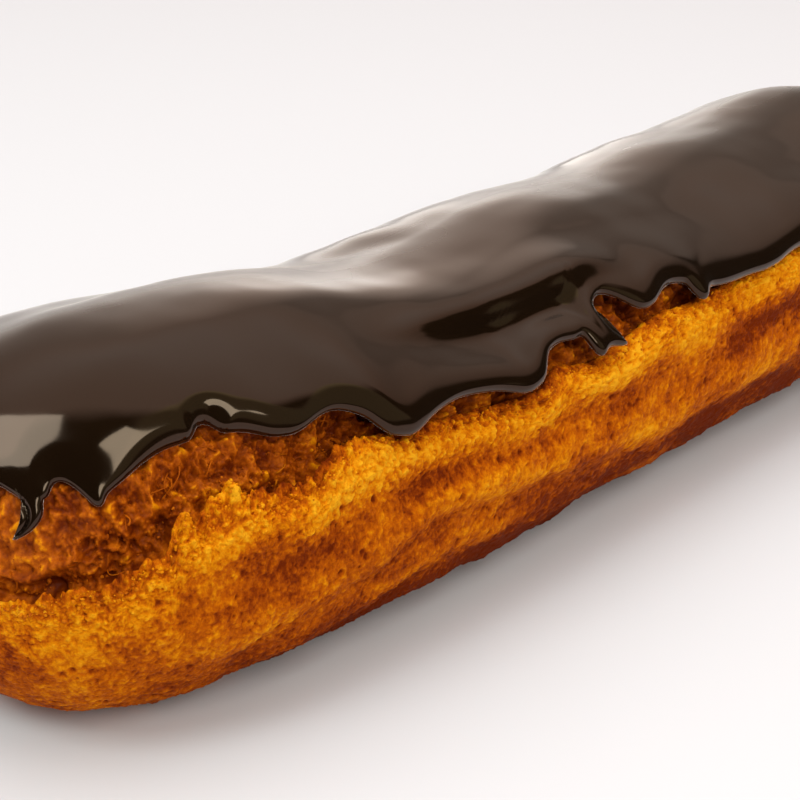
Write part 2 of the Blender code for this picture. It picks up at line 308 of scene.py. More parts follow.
def put_mesh(name, points, faces, material, values=None):
    """An object from points and an array of quads; a quad whose last corner is -1 is a triangle."""
    mesh = bpy.data.meshes.new(name)
    corners = np.where(faces[:, 3] < 0, 3, 4)
    loops = faces.reshape(-1)
    loops = loops[loops >= 0]
    mesh.vertices.add(len(points))
    mesh.vertices.foreach_set("co", points.astype(np.float32).ravel())
    mesh.loops.add(len(loops))
    mesh.loops.foreach_set("vertex_index", loops.astype(np.int32))
    mesh.polygons.add(len(faces))
    mesh.polygons.foreach_set("loop_start", (np.cumsum(corners) - corners).astype(np.int32))
    mesh.update(calc_edges=True)
    mesh.validate()
    for key, value in (values or {}).items():
        layer = mesh.attributes.new(key, "FLOAT", "POINT")
        layer.data.foreach_set("value", value.astype(np.float32).ravel())
    mesh.materials.append(material)
    mesh.shade_smooth()
    return put_object(name, mesh)


def loft_faces(count, rows):
    """Quads between equal closed rings, and the triangles that close both ends on two last points."""
    first = np.arange(count * rows).reshape(count, rows)
    after = np.roll(first, -1, axis=1)
    quads = np.stack([first[:-1], first[1:], after[1:], after[:-1]], axis=-1).reshape(-1, 4)
    start = np.full(rows, count * rows)
    none = np.full(rows, -1)
    low = np.stack([start, first[0], after[0], none], axis=-1)
    high = np.stack([start + 1, after[-1], first[-1], none], axis=-1)
    return np.concatenate([quads, low, high])


def put_loft(name, rings, ends, material, values, at_ends=0.0):
    """A closed skin through equal rings, with a point that closes each end and has values of its own."""
    points = np.concatenate([rings.reshape(-1, 3), ends])
    values = {key: np.append(value.ravel(), [at_ends, at_ends]) for key, value in values.items()}
    return put_mesh(name, points, loft_faces(*rings.shape[:2]), material, values)


class Nodes:
    """Short ways to put down and join the nodes of a material, or of the world."""

    def __init__(self, owner, shader="Principled BSDF"):
        owner.use_nodes = True
        self.owner = owner
        self.tree = owner.node_tree
        self.shader = self.tree.nodes[shader]

    def put(self, kind, inputs=None, **settings):
        """A node with its settings and its inputs, each a value or another node's output."""
        node = self.tree.nodes.new(kind)
        for key, value in settings.items():
            setattr(node, key, value)
        for key, value in (inputs or {}).items():
            self.join(value, node.inputs[key])
        return node

    def join(self, value, socket):
        """Link an output to a socket, or set the socket."""
        if isinstance(value, bpy.types.NodeSocket):
            self.tree.links.new(value, socket)
        else:
            socket.default_value = value

    def set(self, **inputs):
        """Set or link sockets of the shader, with underscores for spaces."""
        for key, value in inputs.items():
            self.join(value, self.shader.inputs[key.replace("_", " ")])

    def place(self, scale=(1, 1, 1)):
        """Object coordinates, stretched."""
        here = self.put("ShaderNodeTexCoord").outputs["Object"]
        return self.put("ShaderNodeMapping", {"Vector": here, "Scale": scale}).outputs[0]

    def noise(self, vector, scale, detail=2.0, roughness=0.5):
        """Noise from 0 to 1; scale is in lumps for each metre."""
        return self.put("ShaderNodeTexNoise", {"Vector": vector, "Scale": scale, "Detail": detail,
                                               "Roughness": roughness}).outputs["Fac"]

    def pits(self, vector, scale):
        """Distance to the nearest of scattered spots."""
        return self.put("ShaderNodeTexVoronoi", {"Vector": vector, "Scale": scale}).outputs["Distance"]

    def attribute(self, name):
        """A value that the mesh carries."""
        return self.put("ShaderNodeAttribute", attribute_name=name).outputs["Fac"]

    def math(self, operation, a, b):
        """One sum."""
        return self.put("ShaderNodeMath", {0: a, 1: b}, operation=operation).outputs[0]

    def add(self, value, extra, share=1.0, centre=0.0):
        """A value, and a share of how far another is over its centre."""
        if centre:
            extra = self.math("SUBTRACT", extra, centre)
        return self.math("ADD", value, self.math("MULTIPLY", extra, share))

    def remap(self, value, low, high, to_low=0.0, to_high=1.0, shape="LINEAR"):
        """A value carried from one range to another, held at both ends."""
        return self.put("ShaderNodeMapRange", {"Value": value, "From Min": low, "From Max": high,
                                               "To Min": to_low, "To Max": to_high},
                        interpolation_type=shape).outputs["Result"]

    def colours(self, value, stops):
        """A colour for each value, from (place, colour) stops."""
        node = self.put("ShaderNodeValToRGB", {"Fac": value})
        elements = node.color_ramp.elements
        while len(elements) < len(stops):
            elements.new(0.5)
        for element, (place, colour) in zip(elements, stops):
            element.position = place
            element.color = (*colour[:3], 1.0)
        return node.outputs["Color"]

    def mix(self, factor, a, b):
        """Two colours mixed: a where the factor is 0, b where it is 1."""
        a, b = (value if isinstance(value, bpy.types.NodeSocket) else (*value[:3], 1.0) for value in (a, b))
        return self.put("ShaderNodeMix", {0: factor, 6: a, 7: b}, data_type="RGBA").outputs[2]

    def bump(self, height, depth, strength, under=None):
        """Relief of a depth in metres, over another bump if one is given."""
        inputs = {"Height": height, "Distance": depth, "Strength": strength}
        if under is not None:
            inputs["Normal"] = under
        return self.put("ShaderNodeBump", inputs).outputs["Normal"]


# ---------------------------------------------------------------- settings

class EclairCrust(bpy.types.PropertyGroup):
    """Sizes and colours of the choux."""

    stations: IntProperty(name="Rings", description="Rings along each length of the crust", default=350,
                          min=40)
    crumb_stations: IntProperty(name="Crumb rings", description="Rings along the torn crumb", default=860,
                                min=40)
    flute_depth: FloatProperty(name="Flute depth", description="Depth of the lengthwise flutes",
                               default=1.15 * MM, unit="LENGTH")
    lump_height: FloatProperty(name="Lumps", description="Height of the slow lumps",
                               default=0.5 * MM, unit="LENGTH")
    grain_height: FloatProperty(name="Grain", description="Height of the fine open grain",
                                default=0.26 * MM, unit="LENGTH")
    fleck: FloatVectorProperty(name="Fleck", description="Pale tips of the tufts", subtype="COLOR",
                               default=(0.82, 0.36, 0.010))
    # Gold carries painted light: the flutes' ridges are painted lit in gold, over the crust's own browning.
    gold: FloatVectorProperty(name="Gold", description="Crust on the ridges and at the lip",
                              subtype="COLOR", default=(0.70, 0.225, 0.0015))
    amber: FloatVectorProperty(name="Amber", description="Most of the crust", subtype="COLOR",
                               default=(0.50, 0.106, 0.001))
    # Brown carries painted shade as well as baking: the flutes' grooves and the pits are painted shaded in
    # brown.
    brown: FloatVectorProperty(name="Brown", description="Well baked hollows", subtype="COLOR",
                               default=(0.29, 0.046, 0.001))
    # Dark is reached by painted shade: the pits and the crust towards the floor are darkened towards it.
    dark: FloatVectorProperty(name="Dark", description="Pits and the foot of the crust", subtype="COLOR",
                              default=(0.15, 0.018, 0.001))
    crumb: FloatVectorProperty(name="Crumb", description="Moist crumb inside the burst",
                               subtype="COLOR", default=(0.27, 0.047, 0.001))
    # Painted shade: the bottoms of the crumb's cups, and the crust's skin behind the lips, take this dark
    # colour.
    cup_shade: FloatVectorProperty(name="Cups", description="Bottoms of the crumb's cups", subtype="COLOR",
                             default=(0.12, 0.015, 0.001))
    # Painted light: the walls between the cups are painted paler, as if lit through.
    wall: FloatVectorProperty(name="Walls", description="Thin walls between the cups", subtype="COLOR",
                              default=(0.46, 0.10, 0.003))


class EclairIcing(bpy.types.PropertyGroup):
    """Sizes and colours of the icing."""

    stations: IntProperty(name="Rings", description="Rings along the icing", default=640, min=40)
    thickness: FloatProperty(name="Thickness", description="Thickness of the poured icing",
                             default=ICING_THICKNESS, unit="LENGTH")
    rim_radius: FloatProperty(name="Rim radius", description="Radius of the rounded edge",
                              default=0.5 * MM, unit="LENGTH")
    bank_width: FloatProperty(name="Bank width", description="Width of the slope above the rounded edge",
                              default=2.9 * MM, unit="LENGTH")
    bank_share: FloatProperty(name="Bank height",
                              description="Height of that slope, as a share of the usual", default=1.0)
    lift: FloatProperty(name="Lift", description="How far the rounded edge stands off the crust",
                        default=0.35 * MM, unit="LENGTH")
    chocolate: FloatVectorProperty(name="Chocolate", description="The icing's own colour", subtype="COLOR",
                                   default=(0.0065, 0.0030, 0.0012))
    gloss: FloatProperty(name="Roughness", description="Roughness of the icing's face", default=0.06)
    satin: FloatProperty(name="Satin", description="Roughness that the set top gains", default=0.2)


class EclairStage(bpy.types.PropertyGroup):
    """The floor, the lights and the camera."""

    floor: FloatVectorProperty(name="Floor", description="Colour of the floor", subtype="COLOR",
                               default=(0.675, 0.666, 0.715))
    ceiling: FloatProperty(name="Ceiling light", description="Brightness of the soft light overhead",
                           default=1.0)
    dark: FloatProperty(name="Dark side", description="Brightness of the unlit room behind the camera",
                        default=0.012)
    wall: FloatProperty(name="Wall", description="Brightness of the olive wall behind the camera",
                        default=0.40)


# ---------------------------------------------------------------- crust

# Turn of the section for each millimetre along its outline, near enough
TURN = MM / (HALF_WIDTH * 0.95)
LIP_RADIUS = 0.6
UNDERSIDE = math.radians(-60)
CRUST_NAMES = ("crust.burst", "crust.middle", "crust.whole")
CRUST_JOINS = (-52.0 * MM, -22.0 * MM)
CRUST_END = LENGTH / 2 - 0.15 * MM

# Rows of the crust's mesh: underneath, up to the front lip, over it, across the hidden top, down the back
BOTTOM_ROWS, CLIMB_ROWS, LIP_ROWS, TOP_ROWS, DOWN_ROWS = 15, 190, 9, 12, 50

# How the skin drops out of sight behind the front lip and the back lip, in millimetres: places along the
# section, and heights
FRONT_DROP = np.array(((-1.2, -0.8, 1.0), (-2.4, -5.0, -8.0)))
BACK_DROP = np.array(((-1.0, 0.8), (-3.0, -2.8)))

# Flutes: how far below the lip they start, in millimetres, their pitch on the back, and where they fade
FLUTE_START = 2.6
BACK_PITCH = math.radians(25)
FLUTE_END, FLUTE_FADE = -51, 10


def lip_line(x):
    """Angle of the torn lip on the front."""
    return angle_at_height(x, curve(x, LIP))


def crust_section(x):
    """Angles and heights of the crust's rows at each ring.

    From under the eclair the rows climb the front to the lip, turn over it on a half circle,
    drop behind it, cross the hidden top, and come down the back the same way.
    """
    front, back = lip_line(x)[:, None], back_ledge(x)[:, None]
    beyond = math.pi - UNDERSIDE
    turn = np.radians(np.linspace(90, -90, LIP_ROWS))
    over, over_back = turn[1:], turn[-2::-2]
    bottom = np.linspace(beyond - 2 * math.pi, UNDERSIDE, BOTTOM_ROWS)[None, 1:-1]
    share = np.linspace(0.0, 1.0, CLIMB_ROWS)
    across = np.linspace(0, 1, TOP_ROWS)
    rows = ((bottom, 0.0),
            (UNDERSIDE + (front - UNDERSIDE) * (1.6 * share - 0.6 * share**2), 0.0),
            (front + LIP_RADIUS * np.cos(over) * TURN, LIP_RADIUS * (np.sin(over) - 1)),
            (front + FRONT_DROP[0] * TURN, FRONT_DROP[1]),
            (front + 4 * TURN + (back - front - 6 * TURN) * across, 6.0 * ramp(2.2 * across - 0.8) - 9.0),
            (back + BACK_DROP[0] * TURN, BACK_DROP[1]),
            (back - LIP_RADIUS * np.cos(over_back) * TURN, LIP_RADIUS * (np.sin(over_back) - 1)),
            (back + (beyond - back) * np.linspace(0.0, 1.0, DOWN_ROWS), 0.0))
    angle = np.concatenate([a + 0.0 * front for a, _ in rows], axis=1)
    height = np.concatenate([h * MM + 0.0 * (a + front) for a, h in rows], axis=1)
    return angle, height


def flute_phase(x, angle):
    """Number of flutes down from just under the lip: the front's second one follows the ridge, and the
    back's keep one pitch."""
    ridge = angle_at_height(x, curve(x, RIDGE))
    first = lip_line(x) - FLUTE_START * TURN
    front = (first - angle) / (first - ridge)
    back = (angle - back_ledge(x)) / BACK_PITCH
    return np.where(angle < math.pi / 2, front, back)


def crust_relief(x, angle, plain, sizes):
    """Stand-off of the outer crust in metres, and how ridged, pitted and tufted each point is.

    Flutes are cosines of the phase, broken up by noise.  They are shallower below the front's ridge and
    fade out on the burst end.  Lumps and a felt of short upright fibres are noise, the fibres drawn out
    upwards.  Crumbly grains, highest near the lip, are noise without its sign, which leaves rounded
    bumps with creases between.  Pits are the hollows round strewn spots.
    """
    phase = flute_phase(x, angle) + 0.08 * noise(plain, 8 * MM, 5, (0.5, 1, 1))
    flutes = 0.5 + 0.5 * np.cos(2 * math.pi * phase)
    flutes = flutes + (0.25 - flutes) * 0.6 * ramp((phase - 1.2) / 0.3) * (angle < math.pi / 2)
    flutes = flutes * (0.85 + 0.3 * noise(plain, 12 * MM, 6, (0.3, 1, 1))) * ramp(2.2 * fullness(x))
    flutes = 0.5 + (flutes - 0.5) * (1.0 - below(x, FLUTE_END, FLUTE_FADE))
    lumps = rough(plain, 9 * MM, 3, 3)
    lip = hump(angle, lip_line(x) - 1.5 * TURN, 3.6 * TURN)
    felt = rough(plain, 0.62 * MM, 2, 11, (1.0, 0.5, 0.45))
    grains = sum(share * np.abs(noise(plain, size * MM, seed))
                 for size, share, seed in ((1.05, 0.9, 13), (0.55, 0.7, 15), (0.28, 0.55, 17))) - 0.58
    nearest, _, mark = cells(plain, 1.25 * MM, 21, (1.0, 0.8, 0.75))
    pits = ramp(1.0 - nearest / (0.18 + 0.26 * mark)) * (mark > 0.55)
    small, _, few = cells(plain, 0.8 * MM, 23)
    pits = np.maximum(pits, 0.7 * ramp(1.0 - small / 0.30) * (few > 0.6))
    height = (sizes.flute_depth * (flutes - 1.0) + sizes.lump_height * (lumps - 0.6)
              + sizes.grain_height * (0.35 * felt + (0.6 + 1.0 * lip) * grains - 1.2 * pits))
    return height, flutes, pits, 0.4 * felt + (1.0 + lip) * grains


def lip_tears(x, plain):
    """Rise and fall of the torn lip: the tufts and notches along X, and crumbly edges where it burst."""
    burst = 0.45 + 0.55 * below(x, -36, 4)
    rise = sum(tall * hump(x, place * MM, np.where(x < place * MM, before, after) * MM, 2.4)
               for place, tall, before, after in TUFTS)
    crumbly = 1.3 * np.abs(noise(plain, 1.5 * MM, 33)) + 0.8 * np.abs(noise(plain, 0.7 * MM, 35)) - 0.55
    return (rise + crumbly * burst + 0.35 * noise(plain, 3.4 * MM, 31, (1.0, 0.15, 0.15))) * MM


def make_crust(sizes, name, low, high):
    """A length of the outer crust from low to high: one closed skin with a ragged lip on either side."""
    x = spread(low, high, sizes.stations, lambda p: 1.0 + 1.5 * hump(np.abs(p), LENGTH / 2, 4 * MM))
    angle, height = crust_section(x)
    along = np.repeat(x[:, None], angle.shape[1], axis=1)
    plain = body_point(along, angle)
    outside = ramp(1.0 + height / (2.0 * MM))
    full = fullness(along)
    near_front = ramp(1.0 - (lip_line(along) - angle) / (3.4 * TURN)) * (angle < math.pi / 2)
    near_back = hump(angle, back_ledge(along), 5.5 * TURN, 3.0)
    rise = np.zeros_like(plain)
    rise[..., 2] = lip_tears(along, plain) * np.maximum(near_front, near_back) * outside * ramp(2 * full)
    relief, flutes, pits, tuft = crust_relief(along, angle, plain + rise, sizes)
    points = raised(along, angle, (height + relief * outside) * full) + rise
    points[..., 2] = np.maximum(points[..., 2], 0.0)
    ends = points[[0, -1]].mean(axis=1)
    ends[:, 0] = [math.copysign(LENGTH / 2, place) if abs(place) >= CRUST_END else place
                  for place in (low, high)]
    lip = np.maximum(hump(angle, lip_line(along) - 2.4 * TURN, 4.8 * TURN),
                     hump(angle, back_ledge(along) + 2.4 * TURN, 4.8 * TURN))
    # Painted shade: the crust's colour is darkened towards the floor, less so towards the burst end, and
    # carried as the attribute low.
    painted_underside_shade = below(points[..., 2], 12, 10) * (0.25 + 0.75 * (1.0 - below(along, -38, 24)))
    # The pits are darkened in colour as painted shade in their hollows.
    values = {"flute_light_and_shade": flutes, "pit_shade": pits * outside, "lip": lip, "torn": 1.0 - outside, "low": painted_underside_shade,
              "tuft": tuft}
    return put_loft(name, points, ends, crust_material(sizes), values, 0.5)


def crust_material(sizes):
    """Choux crust: gold on the ridges, amber between, brown in the grooves, with painted light and shade:
    the ridges are painted lit and the grooves shaded, and the pits and the crust towards the floor are
    darkened as painted shade.

    Three sizes of noise mottle it, the broadest drawn out along X, and the tips of the tufts are pale.
    """
    n = Nodes(bpy.data.materials.new("choux crust"))
    place = n.place()
    broad = n.noise(n.place((0.55, 1.0, 1.0)), 170, 4.0, 0.62)
    felt = n.noise(n.place((1.0, 0.9, 0.85)), 2500, 3.0, 0.75)
    fine = n.noise(place, 620, 4.0, 0.7)
    tone = 0.16
    for mottle, share in ((broad, 1.6), (felt, 0.75), (fine, 0.6)):
        tone = n.add(tone, mottle, share, 0.5)
    # The tone carries painted light and shade: the flutes' ridges are painted lit and their grooves shaded
    # over the crust's browning, the pits are darkened, and so is the crust towards the floor.
    for name, share in (("flute_light_and_shade", 0.50), ("lip", 0.20), ("tuft", 0.28), ("pit_shade", -0.5), ("low", -0.46)):
        tone = n.add(tone, n.attribute(name), share)
    colour = n.colours(tone, ((0.0, sizes.dark), (0.2, sizes.brown), (0.45, sizes.amber), (0.7, sizes.gold),
                              (1.0, sizes.fleck)))
    # The skin that drops out of sight behind the lips takes the dark cup colour: painted shade in that
    # recess.
    colour = n.mix(n.attribute("torn"), colour, sizes.cup_shade)
    relief = n.bump(felt, 0.20 * MM, 0.9)
    relief = n.bump(n.remap(n.pits(place, 1700), 0.05, 0.42), 0.10 * MM, 0.6, relief)
    n.set(Base_Color=colour, Roughness=n.remap(fine, 0.3, 0.7, 0.5, 0.8), Normal=relief)
    n.set(Specular_IOR_Level=0.03)
    return n.owner


# ---------------------------------------------------------------- torn crumb

CRUMB_LOW, CRUMB_HIGH = -74.9 * MM, 74.0 * MM
CRUMB_ROWS = 94
CRUMB_THICKNESS = 8.5 * MM

# The foam's sizes: width and depth of a cup in millimetres, width of a wall as a share of it, seed, and
# how much paler the walls are painted, as painted light
FOAM = ((3.4, 1.3, 0.45, 65, 0.34), (1.6, 0.6, 0.45, 67, 0.28), (0.75, 0.22, 0.5, 68, 0.18))
FOAM_STRETCH = (1.0, 0.66, 0.7)

# Threads of torn dough, and loose grains: how many, rings and sides of each, and in millimetres where
# they start along X, and how far they reach over the burst and along the lip
STRAND_COUNT, STRAND_RINGS, STRAND_SIDES = 18, 9, 5
BIT_COUNT, BIT_RINGS, BIT_SIDES = 1500, 5, 8
BURST_START, BURST_REACH, LIP_REACH = -74.0, 36.0, 108.0


def crumb_rows(x, share):
    """Angles from just under the lip, at share 0, to well under the icing, at share 1."""
    low = lip_line(x) - 0.9 * TURN
    high = np.maximum(angle_at_height(x, curve(x, FRONT_EDGE) + 3.2 * MM), low + 4 * TURN)
    return low + (high - low) * share


def crumb_form(x, angle, plain):
    """How far the torn face stands off the plain body in metres, and how much of a wall each point is.

    The face drops steeply behind the lip, is scooped out and comes up to the icing, with a torn
    shelf along its foot where the burst is widest.  It is a foam in three sizes: each strewn spot
    owns a rounded cup as deep as a number of its own, and where two cups meet a wall stands.
    The lattice is pulled out upwards and bent by noise.  Crumbly grains lie over it, and fine
    fibres run up it.
    """
    up = (angle - lip_line(x)) / TURN
    depth = (2.1 + 1.6 * below(x, -34, 8) * ramp(1.0 - up / 8)) * ramp(0.35 + (up + 0.9) / 1.6)
    wobble = 1.3 * noise(plain, 3 * MM, 51) + 0.9 * noise(plain, 1.3 * MM, 53)
    shelf = hump(up + wobble, 3.6 + 0.1 * (x / MM + 70), 0.9) * below(x, -60, 4)
    shelf = shelf * ramp(0.75 + 1.6 * noise(plain, 2.2 * MM, 55))
    bent = plain + 0.7 * MM * np.stack([noise(plain, 2.6 * MM, seed) for seed in (61, 62, 63)], axis=-1)
    lumps = rough(plain, 4 * MM, 2, 77)
    height, tone = 1.3 * shelf + 0.6 * lumps - depth, 0.04 + 0.05 * shelf + 0.2 * lumps
    for size, deep, edge, seed, share in FOAM:
        first, second, mark = cells(bent, size * MM, seed, FOAM_STRETCH)
        wall = 1.0 - ramp((second - first) / (edge + 0.3 * mark))
        height = height - deep * (0.3 + mark) * (1.0 - wall) * (1.0 - 0.4 * first)
        # The tone paints light and shade: walls paler as if lit, cup bottoms left dark as painted shade.
        tone = tone + share * wall * (0.5 + 0.5 * mark)
    grains = np.abs(noise(plain, 1.2 * MM, 73)) + 0.7 * np.abs(noise(plain, 0.55 * MM, 75)) - 0.48
    fibres = rough(plain, 0.5 * MM, 2, 69, (1.0, 0.35, 0.35))
    return (height + 0.5 * grains + 0.1 * fibres) * MM, tone + 0.6 * grains + 0.15 * fibres


def make_crumb(sizes):
    """The torn crumb behind the front lip: a closed blanket whose face is a foam of open cups.

    Its underside is the plain body sunk by one thickness, with every eighth row.
    """
    x = spread(CRUMB_LOW, CRUMB_HIGH, sizes.crumb_stations,
               lambda place: 0.25 + below(place, -32, 8) + 0.35 * below(place, 16, 4))
    share = np.linspace(0.0, 1.0, CRUMB_ROWS)
    along = np.repeat(x[:, None], len(share), axis=1)
    angle = crumb_rows(along, share[None])
    height, tone = crumb_form(along, angle, body_point(along, angle))
    full = fullness(along)
    face = raised(along, angle, height * full)
    under = raised(along[:, ::8], angle[:, ::8], -CRUMB_THICKNESS * full[:, ::8])
    rings = np.concatenate([face, under[:, ::-1]], axis=1)
    ends = rings[[0, -1]].mean(axis=1)
    tone = np.concatenate([tone, tone[:, ::8] * 0.0], axis=1)
    return put_loft("crumb", rings, ends, crumb_material(sizes), {"wall": tone})


def make_strands(sizes):
    """Threads of torn dough across the burst: thin tubes on a bowed line between two points of the face."""
    count, sides = STRAND_COUNT, STRAND_SIDES
    dice = np.random.default_rng(19)
    x = (BURST_START + BURST_REACH * dice.random(count)[:, None]) * MM
    low = 0.02 + 0.45 * dice.random(count)[:, None]
    t = np.linspace(0.0, 1.0, STRAND_RINGS)[None]
    lean = dice.normal(0.0, 1.1 * MM, (count, 1))
    reach = (0.06 + 0.13 * dice.random((count, 1)))
    along = x + lean * t
    angle = crumb_rows(along, low + reach * t)
    height, _ = crumb_form(along, angle, body_point(along, angle))
    chord = height[:, :1] + (height[:, -1:] - height[:, :1]) * t
    bow = 0.6 * MM * np.sin(math.pi * t) * (0.3 + dice.random((count, 1)))
    along = along + 0.4 * MM * dice.normal(size=(count, 1)) * np.sin(math.pi * t)
    middle = raised(along, angle, (np.maximum(chord, height) + bow - 0.12 * MM) * fullness(along))
    radius = (0.04 + 0.05 * dice.random((count, 1))) * MM * (1.8 - np.sin(math.pi * t))
    ahead = np.gradient(middle, axis=1)
    side = unit(np.cross(ahead, [0.3, -1.0, 0.2]))
    upward = unit(np.cross(side, ahead))
    turn = 2 * math.pi * np.arange(sides) / sides
    spoke = side[:, :, None] * np.cos(turn)[:, None] + upward[:, :, None] * np.sin(turn)[:, None]
    ring = middle[:, :, None] + radius[..., None, None] * spoke
    block = np.concatenate([ring.reshape(count, -1, 3), middle[:, [0, -1]]], axis=1)
    pale = 0.1 + 0.5 * dice.random(count)
    return put_repeated("strands", block, loft_faces(STRAND_RINGS, sides), pale, sizes)


def make_bits(sizes):
    """Grains of crumb along the torn lip and in the burst: spheres pushed out of round by noise."""
    count = BIT_COUNT
    dice = np.random.default_rng(11)
    at_lip = dice.random(count) < 0.75
    x = (BURST_START + np.where(at_lip, LIP_REACH * dice.random(count) ** 1.35,
                                BURST_REACH * dice.random(count))) * MM
    shift = np.where(at_lip, dice.normal(-0.5, 0.75, count), 0.6 + 7.0 * dice.random(count)) * MM
    angle = lip_line(x) + shift * TURN / MM
    plain = body_point(x, angle)
    inner, _ = crumb_form(x, angle, plain)
    outer, _, _, _ = crust_relief(x, angle, plain, sizes)
    height = np.where(shift < 0.1 * MM, outer, inner)
    middle = raised(x, angle, (height - 0.05 * MM) * fullness(x))
    middle[:, 2] += np.where(at_lip, lip_tears(x, plain) * ramp(1.0 + shift / (4.5 * MM)), 0.0)
    size = (0.06 + 0.12 * dice.random(count) ** 2.0) * MM
    polar = math.pi * (np.arange(BIT_RINGS) + 1) / (BIT_RINGS + 1)
    turn = 2 * math.pi * np.arange(BIT_SIDES) / BIT_SIDES
    ball = np.stack([np.cos(polar)[:, None] + 0 * turn, np.sin(polar)[:, None] * np.cos(turn),
                     np.sin(polar)[:, None] * np.sin(turn)], axis=-1).reshape(-1, 3)
    ball = np.concatenate([ball, [[1, 0, 0], [-1, 0, 0]]])
    turned = np.linalg.qr(dice.normal(size=(count, 3, 3)))[0]
    turned = turned * np.linalg.det(turned)[:, None, None]
    stretch = 0.7 + 0.7 * dice.random((count, 1, 3))
    lumpy = 1.0 + 0.6 * noise(ball[None] * MM + plain[:, None] * 3, 0.9 * MM, 71)[..., None]
    grain = np.einsum("nvk,njk->nvj", ball[None] * stretch * lumpy, turned)
    points = middle[:, None] + size[:, None, None] * grain
    pale = np.where(at_lip, 0.4 + 0.45 * dice.random(count), 0.35 * dice.random(count))
    pale = pale * np.where(shift > -0.2 * MM, 0.5, 1.0)
    return put_repeated("bits", points, loft_faces(BIT_RINGS, BIT_SIDES), pale, sizes)


def put_repeated(name, blocks, faces, pale, sizes):
    """One mesh of many equal blocks of points with the same faces, each block as pale as its number."""
    count, step = blocks.shape[:2]
    shift = np.arange(count)[:, None, None] * step
    faces = np.where(faces[None] < 0, -1, faces[None] + shift).reshape(-1, 4)
    return put_mesh(name, blocks.reshape(-1, 3), faces, bits_material(sizes),
                    {"pale": np.repeat(pale, step)})


def bits_material(sizes):
    """Crumb grains and threads, from moist orange to the lip's pale gold."""
    n = Nodes(bpy.data.materials.new("crumb bits"))
    fine = n.noise(n.place(), 1500, 2.0)
    tone = n.add(n.attribute("pale"), fine, 0.5, 0.5)
    colour = n.colours(tone, ((0.0, sizes.crumb), (0.4, sizes.wall), (0.75, sizes.gold), (1.0, sizes.fleck)))
    n.set(Base_Color=colour, Roughness=n.remap(fine, 0.3, 0.7, 0.4, 0.7))
    n.set(Specular_IOR_Level=0.05)
    return n.owner


def crumb_material(sizes):
    """Moist torn crumb with painted light and shade: thin walls are painted a glowing orange as if lit, and
    the cups between them a dark red-brown as painted shade.
    """
    n = Nodes(bpy.data.materials.new("torn crumb"))
    place = n.place()
    fine = n.noise(place, 1300, 4.0, 0.75)
    broad = n.noise(place, 210, 2.0)
    tone = n.add(n.add(n.attribute("wall"), fine, 1.3, 0.5), broad, 1.0, 0.5)
    colour = n.colours(tone, ((0.0, sizes.cup_shade), (0.4, sizes.crumb), (0.75, sizes.wall), (1.0, sizes.gold)))
    n.set(Base_Color=colour, Roughness=n.remap(fine, 0.3, 0.7, 0.35, 0.6))
    n.set(Normal=n.bump(n.noise(n.place((1.0, 0.6, 0.5)), 2200, 2.0), 0.12 * MM, 0.7))
    n.set(Specular_IOR_Level=0.05)
    return n.owner


# ---------------------------------------------------------------- icing

# Height of the smooth shoulder line above the edge, and rows of the mesh from the edge to it, across the
# top, and on the face for each one inside
SHOULDER = 2.6 * MM
RIM_ROWS, OVER_ROWS, INSIDE_STEP = 25, 62, 3

# Points whose distances to the edge are worked out at a time
BATCH = 4096

# The leaf-shaped step in the icing's face: its middle, reach, slope, and how fast it rises and fades
LEAF_PLACE = -15.7 * MM
LEAF_REACH = 13.5 * MM
LEAF_ANGLE = math.radians(54.5)
LEAF_CLIMB = math.radians(-2.5)
LEAF_WIDTH = math.radians(6)
LEAF_FADE = math.radians(22)
LEAF_DEPTH = 1.6 * MM

# Where the icing turns from wet gloss to the satin of its top
DULL_START, DULL_END, DULL_RISE = math.radians(72), math.radians(136.8), math.radians(26)


def icing_end(side):
    """Place where the crown comes down to the icing's edge on the nose at -X (-1) or +X (1)."""
    x = side * np.linspace(LENGTH / 2 - NOSE_LENGTH, LENGTH / 2, 4001)
    top = WIDEST_HEIGHT + (crown(x) - WIDEST_HEIGHT) * fullness(x)
    return float(x[top > curve(x, FRONT_EDGE)][-1])


def edge_path(place, line, drips, left=0.0):
    """Place and height of the icing's edge, and of the lines above it.

    Each drip is a hump with a width of its own on either side.  The path drops by the hump and leans
    by its square, so that only the tip strays.  left goes from 0 on the edge to 1 on the smooth
    shoulder line above all the drips and bays, and takes the humps away on the way up.
    """
    height = curve(place, line) + left * SHOULDER
    x = place + 0.0 * left
    for centre, drop, before, after, lean in drips:
        reach = np.where(place < centre * MM, before, after) * MM
        swell = hump(place, centre * MM, reach, DRIP_POWER) * (1.0 - left)
        height = height - drop * MM * swell
        x = x + lean * MM * swell**2
    return x, height


def icing_grid(place, side, left):
    """Places and angles of the icing's rows on one side (-1 front, 1 back), from its edge upwards."""
    line, drips = (FRONT_EDGE, FRONT_DRIPS) if side < 0 else (BACK_EDGE, BACK_DRIPS)
    x, height = edge_path(place, line, drips, left)
    angle = angle_at_height(x, height)
    return x, angle if side < 0 else math.pi - angle


def icing_rings(sizes):
    """Places of the rings, closer together where either edge runs steeply."""
    low, high = icing_end(-1), icing_end(1)
    place = low + (high - low) * 0.5 * (1.0 - np.cos(np.linspace(0, math.pi, 6001)))
    speed = 0.0
    for side in (-1, 1):
        x, angle = icing_grid(place, side, 0.0)
        step = np.linalg.norm(np.diff(body_point(x, angle), axis=0), axis=1)
        speed = np.maximum(speed, step)
    total = np.append(0.0, np.cumsum(speed))
    return np.interp(np.linspace(0, total[-1], sizes.stations + 2)[1:-1], total, place)


